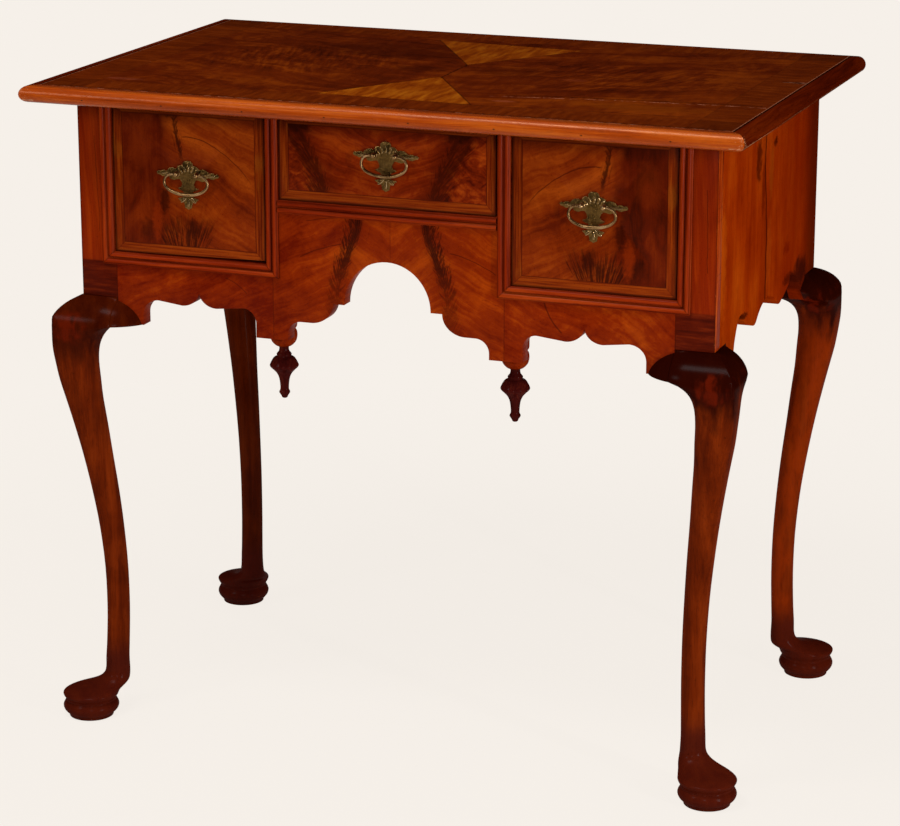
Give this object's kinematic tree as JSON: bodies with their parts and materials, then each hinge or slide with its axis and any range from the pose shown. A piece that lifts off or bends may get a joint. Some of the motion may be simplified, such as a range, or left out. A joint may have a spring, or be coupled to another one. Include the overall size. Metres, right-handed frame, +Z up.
{
  "type": "lowboy",
  "caption": "Low dressing table with a shallow drawer between two deep ones, a scalloped apron with an arch and turned drops, cabriole legs with pad feet, and brass bail handles.",
  "frame": {"origin": "on the floor, under the middle of the top", "axes": "+X along the width towards the right end as seen from the front, +Y from the front to the back, +Z up"},
  "size_m": [0.838, 0.533, 0.762],
  "materials": {
    "walnut": "figured walnut veneer, polished",
    "dark_walnut": "solid walnut, dark and polished",
    "light_walnut": "straight-grained walnut moulding, polished",
    "pine": "bare pine, aged",
    "brass": "cast brass, darkened"
  },
  "bodies": {
    "case": {"top_board": "walnut", "top_moulding_front": "light_walnut", "top_moulding_left": "dark_walnut", "top_moulding_right": "dark_walnut", "front_board": "walnut", "side_board_left": "walnut", "side_board_right": "walnut", "back_board": "pine", "partition_left": "pine", "partition_right": "pine", "inner_runner_left": "pine", "inner_runner_right": "pine", "outer_runner_left": "pine", "outer_runner_right": "pine", "leg_front_left": "dark_walnut", "leg_front_right": "dark_walnut", "leg_rear_left": "dark_walnut", "leg_rear_right": "dark_walnut", "knee_block_front_left": "dark_walnut", "knee_block_front_right": "dark_walnut", "knee_block_front_side_left": "dark_walnut", "knee_block_front_side_right": "dark_walnut", "knee_block_rear_side_left": "dark_walnut", "knee_block_rear_side_right": "dark_walnut", "drop_left": "dark_walnut", "drop_right": "dark_walnut", "strip_left_outer": "light_walnut", "strip_left_divider": "light_walnut", "strip_left_floor": "light_walnut", "strip_right_outer": "light_walnut", "strip_right_divider": "light_walnut", "strip_right_floor": "light_walnut", "strip_centre_floor": "light_walnut"},
    "left_drawer": {"left_drawer_front": "walnut", "left_drawer_side_left": "pine", "left_drawer_side_right": "pine", "left_drawer_back": "pine", "left_drawer_bottom": "pine", "left_drawer_plate": "brass", "left_drawer_post_left": "brass", "left_drawer_post_right": "brass"},
    "centre_drawer": {"centre_drawer_front": "walnut", "centre_drawer_side_left": "pine", "centre_drawer_side_right": "pine", "centre_drawer_back": "pine", "centre_drawer_bottom": "pine", "centre_drawer_plate": "brass", "centre_drawer_post_left": "brass", "centre_drawer_post_right": "brass"},
    "right_drawer": {"right_drawer_front": "walnut", "right_drawer_side_left": "pine", "right_drawer_side_right": "pine", "right_drawer_back": "pine", "right_drawer_bottom": "pine", "right_drawer_plate": "brass", "right_drawer_post_left": "brass", "right_drawer_post_right": "brass"},
    "left_bail": {"left_drawer_bail": "brass"},
    "centre_bail": {"centre_drawer_bail": "brass"},
    "right_bail": {"right_drawer_bail": "brass"}
  },
  "joints": [
    {"name": "left_drawer_slide", "type": "slide", "parent": "case", "child": "left_drawer", "axis": [0, -1, 0], "range_m": [0, 0.3]},
    {"name": "centre_drawer_slide", "type": "slide", "parent": "case", "child": "centre_drawer", "axis": [0, -1, 0], "range_m": [0, 0.3]},
    {"name": "right_drawer_slide", "type": "slide", "parent": "case", "child": "right_drawer", "axis": [0, -1, 0], "range_m": [0, 0.3]},
    {"name": "left_bail_swing", "type": "hinge", "parent": "left_drawer", "child": "left_bail", "pos_m": [-0.239, -0.2155, 0.664], "axis": [-1, 0, 0], "range_deg": [0, 160]},
    {"name": "centre_bail_swing", "type": "hinge", "parent": "centre_drawer", "child": "centre_bail", "pos_m": [0, -0.2155, 0.702], "axis": [-1, 0, 0], "range_deg": [0, 160]},
    {"name": "right_bail_swing", "type": "hinge", "parent": "right_drawer", "child": "right_bail", "pos_m": [0.239, -0.2155, 0.664], "axis": [-1, 0, 0], "range_deg": [0, 160]}
  ]
}
